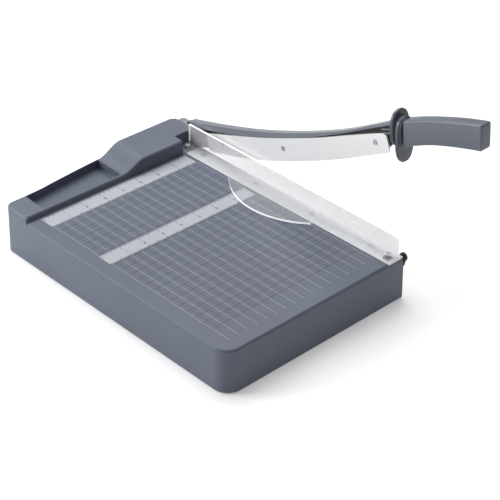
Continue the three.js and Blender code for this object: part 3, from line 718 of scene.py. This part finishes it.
def blade():
    """The blade, ground on the side that faces the core, with a countersink for each screw."""
    top, cut = spline(BLADE_TOP, 8), spline(BLADE_CUT, 7)
    inner, outer = BLADE_X
    count = 56
    rings = []
    for i in range(count + 1):
        (ut, wt), (uc, wc) = along(top, i / count), along(cut, i / count)
        ground = min(BLADE_GRIND, (wt - wc) * 0.5)
        rings.append([
            (inner, -ut, wt),
            (inner, -uc, wc),
            (inner + BLADE_FLAT, -uc, wc),
            (outer, -uc, wc + ground),
            (outer, -ut, wt),
        ])
    front_end = []  # further forward, lower at the top and higher at the foot than the last slice
    for x, y, z in rings[-1]:
        forward, down = (3.6, 2.6) if z > 0 else (0.9, -0.6)
        front_end.append((x, y - forward, z - down))
    rings.append(front_end)
    cone = [(inner + deep, r) for deep, r in BLADE_SINK]
    holes = [rod_x(-u, w, *THROUGH, BLADE_HOLE_R, 28) for u, w in BLADE_SCREWS]
    holes += [turned_x(-u, w, cone, 30) for u, w in BLADE_SCREWS]
    bm = combine(loft(rings), *[("DIFFERENCE", hole) for hole in holes])
    o = finish_piece("ground_blade", raised(bm), "arm", "blade_steel", smooth=20, replaces=["blade"])
    rounded(o, 0.12 * MM, angle=30)


def oval_plate(middle, half_height, half_width, start, end, edge=1.4, sides=64):
    """A plate with soft rims, thickness along the grip; x across, y up the plate."""
    edge = min(edge, (end - start) / 2 - 0.05)
    levels = []
    for i in range(6):
        a = math.radians(18 * i)
        levels.append((start + edge * (1 - math.sin(a)), edge * (1 - math.cos(a))))
    levels = levels[::-1] + [(end - (z - start), inset) for z, inset in levels]
    rings = []
    for z, inset in levels:
        ring = []
        for i in range(sides):
            c, s = math.cos(2 * math.pi * i / sides), math.sin(2 * math.pi * i / sides)
            x = (half_width - inset) * math.copysign(abs(c) ** SQUARENESS, c)
            y = middle + (half_height - inset) * math.copysign(abs(s) ** SQUARENESS, s)
            ring.append((x, y, z))
        rings.append(ring)
    return loft(rings)


def hand_guard():
    """Two oval plates with a neck between them, and a recessed face towards the arm."""
    steps = [(operation, oval_plate(*sizes)) for operation, sizes in COLLAR_STEPS]
    bm = combine(oval_plate(*COLLAR_FACE), *steps)
    spin(bm, 90 + COLLAR_LEAN, "X")
    place = (sum(GRIP_X) / 2, -COLLAR_U, COLLAR_W)
    bmesh.ops.translate(bm, vec=place, verts=bm.verts)
    bm = combine(bm, ("DIFFERENCE", block(*SLOT_X, -400, -TANG_START, *TANG_SLOT)))
    finish = [INKS["collar_grey"]]
    finish_piece("hand_guard_collar", raised(bm), "arm", "arm_plastic", finish, 50, ["hand_guard"])


def grip_section(ut, wt, ul, wl, inset, steps=6):
    """A slice across the grip between a top and a low point, all its corners rounded."""
    r = GRIP_EDGE
    tall = math.hypot(ut - ul, wt - wl)
    up = ((ut - ul) / tall, (wt - wl) / tall)
    x0, x1, h0, h1 = GRIP_X[0] + inset, GRIP_X[1] - inset, inset, tall - inset
    flat = arc(x1 - r, h0 + r, r, -90, 0, steps) + arc(x1 - r, h1 - r, r, 0, 90, steps)
    flat += arc(x0 + r, h1 - r, r, 90, 180, steps) + arc(x0 + r, h0 + r, r, 180, 270, steps)
    return [(x, -(ul + up[0] * h), wl + up[1] * h) for x, h in flat]


def grip():
    top, low = spline(GRIP_TOP, 6), spline(GRIP_LOW, 6)
    count, end_steps = 36, 6
    shares = [i / count for i in range(count - 1)]
    rings = [grip_section(*along(top, t), *along(low, t), 0) for t in shares]
    (ut, wt), (ul, wl) = along(top, 1), along(low, 1)
    for k in range(end_steps + 1):
        a = math.radians(90 * k / end_steps)
        back = GRIP_EDGE * (1 - math.sin(a))
        inset = GRIP_EDGE * (1 - math.cos(a))
        rings.append(grip_section(ut - back, wt, ul - back, wl, inset))
    cuts = [("DIFFERENCE", block(*SLOT_X, -TANG_END, -TANG_START, *TANG_SLOT))]
    cuts += [("DIFFERENCE", rod_x(-u, w, SINK_X, THROUGH[1], SINK_R)) for u, w in GRIP_SCREWS]
    bm = combine(loft(rings), *cuts)
    finish_piece("grip_handle", raised(bm), "arm", "arm_plastic", [INKS["grip_grey"]], 40, ["grip"])


arm_cap()
web_ribs()
blade()
hand_guard()
grip()


# ---- clear guard ----------------------------------------------------------------------------
GUARD_LEFT = 99.8  # of the flange beside the tab
GUARD_THICK = 2.5
TAB_MIDDLE, TAB_HALF, TAB_REACH, TAB_BLEND = -10.5, 67.5, 28.5, 9
TAB_SHARE = 0.84  # of the round rim that is left between the two blends
WALL_CORNER, WALL_DROP = 6, 2.4  # the wall's front corner, and how much lower the wall is there
GUARD_HOLE_R = 2.4
SHEET, PAINTED_GLOW_EDGE, WALL = range(3)  # its materials, in their order; the edge material paints a highlight and glow on the cut edges


def guard_plan(right, front, back):
    """The flange and its round tab, seen from above."""
    left, low, high = GUARD_LEFT, TAB_MIDDLE - TAB_HALF, TAB_MIDDLE + TAB_HALF
    r = (TAB_HALF ** 2 + TAB_REACH ** 2) / (2 * TAB_REACH)
    swing = math.degrees(math.asin(TAB_HALF / r)) * TAB_SHARE
    rim = arc(left - TAB_REACH + r, TAB_MIDDLE, r, 180 - swing, 180 + swing, 40)
    plan = [(left, front), (right, front), (right, back), (left, back), (left, high + TAB_BLEND)]
    plan += bezier(plan[-1], (left, high), rim[0], 8)
    plan += rim[1:]
    plan += bezier(plan[-1], (left, low), (left, low - TAB_BLEND), 8)
    return plan


def clear_guard():
    (_, right), (front, back), (floor, top) = spans("clear_guard")
    flange_top = floor + GUARD_THICK
    low = top - WALL_DROP
    wall = [(front, floor), (back, floor), (back, top), (front + WALL_CORNER, low)]
    wall += bezier(wall[-1], (front, low), (front, low - WALL_CORNER), 6)
    cuts = []
    for end in ("front", "rear"):
        x, y, _ = centre_of("guard_screw_" + end)
        cuts.append(("DIFFERENCE", rod_z(x, y, floor - 1, floor + 5, GUARD_HOLE_R)))
    flange = prism_z(guard_plan(right, front, back), floor, flange_top)
    bm = combine(flange, ("UNION", prism_x(wall, right - GUARD_THICK, right)), *cuts)
    bm.normal_update()
    # The tab's round rim and the wall's top and ends get the edge material, with its painted highlight and glow.
    for f in bm.faces:
        at = f.calc_center_median()
        if at.z < flange_top + 0.01:
            tab_rim = at.x < GUARD_LEFT + 0.5 and abs(at.y - TAB_MIDDLE) < TAB_HALF - 2
            f.material_index = PAINTED_GLOW_EDGE if tab_rim and abs(f.normal.z) < 0.7 else SHEET
        else:
            f.material_index = WALL if abs(f.normal.x) > 0.7 else PAINTED_GLOW_EDGE
    o = finish_piece(
        "guard_sheet", to_metres(bm), "guard", "clear_acrylic",
        [MATERIALS["clear_acrylic"], INKS["edge_acrylic_painted_glow"], INKS["wall_acrylic"]],
        replaces=["clear_guard"],
    )
    rounded(o, 0.25 * MM)


clear_guard()


# ---- coil springs ---------------------------------------------------------------------------
X_AXIS, Z_AXIS = 0, 2
CLOSED_TURNS = 0.75  # at each end
TURN_STEPS, WIRE_SIDES = 24, 10


def coil(name, node, axis, turns, wire):
    """A wound spring in the box of its CAD node, with closed ends."""
    sizes = [b - a for a, b in spans(node)]
    length, r = sizes[axis], sizes[(axis + 1) % 3] / 2 - wire
    rings = []
    steps = turns * TURN_STEPS
    for i in range(steps + 1):
        t = i / steps
        risen = min(1, max(0, (t * turns - CLOSED_TURNS) / (turns - 2 * CLOSED_TURNS)))
        h = -length / 2 + wire + (length - 2 * wire) * risen
        a = 2 * math.pi * turns * t
        out = Vector((math.cos(a), math.sin(a), 0))
        ring = []
        for k in range(WIRE_SIDES):
            b = 2 * math.pi * k / WIRE_SIDES
            ring.append(out * (r + wire * math.cos(b)) + Vector((0, 0, h + wire * math.sin(b))))
        rings.append(ring)
    bm = loft(rings)
    if axis == X_AXIS:
        spin(bm, 90, "Y")
    bmesh.ops.translate(bm, vec=centre_of(node), verts=bm.verts)
    return finish_piece(name, to_metres(bm), "base", "spring_steel", smooth=60, replaces=[node])


for end in ("front", "rear"):
    wound = coil("guard_coil_" + end, "guard_spring_" + end, Z_AXIS, 5, 0.45)
    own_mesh(wound)
coil("pivot_coil", "pivot_spring", X_AXIS, 5, 0.8)


# ---- the board's printed rulers and grid ----------------------------------------------------
RULERS_Y = ((110.5 * MM, 131.5 * MM), (11.5 * MM, 32 * MM))
RULER_X = (-106.5 * MM, 98 * MM)
FIRST_LINE = -104.8 * MM
GRID = INCH / 2
GRID_FRONT = -167.5 * MM
GRID_COLUMNS = 17
GRID_MARGIN = 1 * MM  # between the grid and a ruler
CROSS_OFFSET = 14.6 * MM  # one line across is this far in front of the front ruler
FREE_ENDS = 24 * MM
INK_HIGH = 0.04 * MM
PRINT_Z = BOARD_Z + 0.01 * MM
OVERPRINT_Z = PRINT_Z + INK_HIGH  # on the rulers' light ground
TICK_HALF = 0.28 * MM
TICK_LENGTHS = ((16, 6.5), (8, 4.6), (4, 3.2), (1, 1.8))  # every so many sixteenths of an inch, mm
SHORT_TICK = 2.5 * MM  # along the front edge, every half inch
FIGURE_WIDE, FIGURE_TALL, FIGURE_UP = 2.6 * MM, 4.4 * MM, 6.2 * MM


def rulers():
    bm = bmesh.new()
    for y0, y1 in RULERS_Y:
        add_box(bm, *RULER_X, y0, y1, PRINT_Z, PRINT_Z + INK_HIGH)
    finish_piece("printed_rulers", bm, "base", "base_plastic", [INKS["ruler_white"]])


def ruler_ticks():
    bm = bmesh.new()
    z0, z1 = OVERPRINT_Z, OVERPRINT_Z + INK_HIGH
    step = INCH / 16
    count = int((RULER_X[1] - FIRST_LINE) / step)
    for y0, y1 in RULERS_Y:
        for i in range(count + 1):
            x = FIRST_LINE + i * step
            length = next(mm for every, mm in TICK_LENGTHS if i % every == 0) * MM
            add_box(bm, x - TICK_HALF, x + TICK_HALF, y1 - length, y1, z0, z1)
            if i % 8 == 0:
                add_box(bm, x - TICK_HALF, x + TICK_HALF, y0, y0 + SHORT_TICK, z0, z1)
    finish_piece("ruler_ticks", bm, "base", "base_plastic", [INKS["ruler_ink"]])


# Seven strokes of a figure, as (x0, x1, y0, y1) shares of its width and height, and which each uses.
STROKES = {
    "top": (0, 1, 0.86, 1), "middle": (0, 1, 0.43, 0.57), "low": (0, 1, 0, 0.14),
    "left_top": (0, 0.2, 0.5, 1), "right_top": (0.8, 1, 0.5, 1),
    "left_low": (0, 0.2, 0, 0.5), "right_low": (0.8, 1, 0, 0.5),
}
FIGURES = {
    1: ("right_top", "right_low"),
    2: ("top", "right_top", "middle", "left_low", "low"),
    3: ("top", "right_top", "middle", "right_low", "low"),
    4: ("left_top", "middle", "right_top", "right_low"),
    5: ("top", "left_top", "middle", "right_low", "low"),
    6: ("top", "left_top", "middle", "left_low", "right_low", "low"),
    7: ("top", "right_top", "right_low"),
}


def ruler_figures():
    """Inch numbers and a thin line along each ruler's front edge."""
    bm = bmesh.new()
    z0 = OVERPRINT_Z + 0.002 * MM
    z1 = z0 + INK_HIGH
    for y0, _ in RULERS_Y:
        add_box(bm, *RULER_X, y0 + 0.6 * MM, y0 + 0.95 * MM, z0, z1)
        for inch, strokes in FIGURES.items():
            x, y = FIRST_LINE + inch * INCH - FIGURE_WIDE / 2, y0 + FIGURE_UP
            for key in strokes:
                a, b, c, d = STROKES[key]
                across = (x + a * FIGURE_WIDE, x + b * FIGURE_WIDE)
                add_box(bm, *across, y + c * FIGURE_TALL, y + d * FIGURE_TALL, z0, z1)
    finish_piece("ruler_figures", bm, "base", "base_plastic", [INKS["ruler_ink"]])


def grid_lines():
    """Light lines along the board, with dark ones between and across them behind the free ends."""
    light, dark = bmesh.new(), bmesh.new()
    z0, z1 = PRINT_Z, PRINT_Z + INK_HIGH
    (rear_ruler, _), (front_ruler, front_ruler_back) = RULERS_Y
    bays = (
        (GRID_FRONT, front_ruler - GRID_MARGIN),
        (front_ruler_back + GRID_MARGIN, rear_ruler - GRID_MARGIN),
    )
    columns = [FIRST_LINE + i * GRID for i in range(GRID_COLUMNS)]
    half, cross_half = 0.2 * MM, 0.28 * MM
    for y0, y1 in bays:
        behind = max(y0, GRID_FRONT + FREE_ENDS)
        for x in columns:
            add_box(light, x - half, x + half, y0, y1, z0, z1)
            between = x + GRID / 2
            add_box(dark, between - half, between + half, behind, y1, z0, z1)
        y = front_ruler - CROSS_OFFSET + 10 * GRID
        while y > behind:
            if y < y1:
                add_box(dark, columns[0], columns[-1], y - cross_half, y + cross_half, z0, z1)
            y -= GRID
    finish_piece("grid_lines_long", light, "base", "base_plastic", [INKS["line_light"]])
    finish_piece("grid_lines_cross", dark, "base", "base_plastic", [INKS["line_dark"]])


rulers()
ruler_ticks()
ruler_figures()
grid_lines()


# ---- stage ----------------------------------------------------------------------------------
FLOOR_HALF = 6
FLOOR_WHITE = (0.82, 0.82, 0.82, 1)
WORLD_LIGHT = 0.22
FLOOR_GLOW = 0.27
# Name, place, size in metres and power in watts; all aimed at the middle of the board.
AREA_LIGHTS = (
    ("left_key", (-1.0, 0.85, 0.65), 0.7, 14.5),
    ("top_soft", (0.4, 0.8, 2.0), 2.2, 53),
)
AIM = Vector((0, 0, 0.05))
CAMERA_PLACE = (-0.8915, -1.0404, 0.9200)
CAMERA_AZIMUTH, CAMERA_ELEVATION = math.radians(-43.0), math.radians(33.16)
CAMERA_LENS, CAMERA_SENSOR = 109.74, 36


def stage():
    """A white floor under the object."""
    bm = bmesh.new()
    z = CAD_BOX[0].z
    half = FLOOR_HALF
    corners = ((-half, -half), (half, -half), (half, half), (-half, half))
    bm.faces.new([bm.verts.new((x, y, z)) for x, y in corners])
    mesh = bpy.data.meshes.new("floor")
    bm.to_mesh(mesh)
    bm.free()
    floor = bpy.data.objects.new("floor", mesh)
    bpy.context.scene.collection.objects.link(floor)
    m, _, shader = new_material("floor_white")
    shader.inputs["Base Color"].default_value = FLOOR_WHITE
    shader.inputs["Roughness"].default_value = 0.9
    shader.inputs["Emission Color"].default_value = (1, 1, 1, 1)
    shader.inputs["Emission Strength"].default_value = FLOOR_GLOW
    mesh.materials.append(m)


def link_aimed(o, place, direction):
    """Puts a light or a camera in the scene, looking in a direction."""
    o.location = place
    o.rotation_mode = "QUATERNION"
    o.rotation_quaternion = direction.to_track_quat("-Z", "Y")
    bpy.context.scene.collection.objects.link(o)


def area_light(name, place, size, power):
    data = bpy.data.lights.new(name, "AREA")
    data.energy = power
    data.shape = "RECTANGLE"
    data.size = size
    data.size_y = size
    link_aimed(bpy.data.objects.new(name, data), place, AIM - Vector(place))


def lights():
    world = bpy.data.worlds.new("studio")
    world.use_nodes = True
    background = world.node_tree.nodes["Background"]
    background.inputs["Color"].default_value = (1, 1, 1, 1)
    background.inputs["Strength"].default_value = WORLD_LIGHT
    bpy.context.scene.world = world
    for light in AREA_LIGHTS:
        area_light(*light)


def camera():
    data = bpy.data.cameras.new("camera")
    data.lens = CAMERA_LENS
    data.sensor_width = CAMERA_SENSOR
    data.clip_start = 0.05
    cam = bpy.data.objects.new("camera", data)
    level = math.cos(CAMERA_ELEVATION)
    forward = Vector((
        -math.sin(CAMERA_AZIMUTH) * level,
        math.cos(CAMERA_AZIMUTH) * level,
        -math.sin(CAMERA_ELEVATION),
    ))
    link_aimed(cam, CAMERA_PLACE, forward)
    bpy.context.scene.camera = cam


stage()
lights()
camera()
bpy.context.scene.view_settings.view_transform = "Standard"
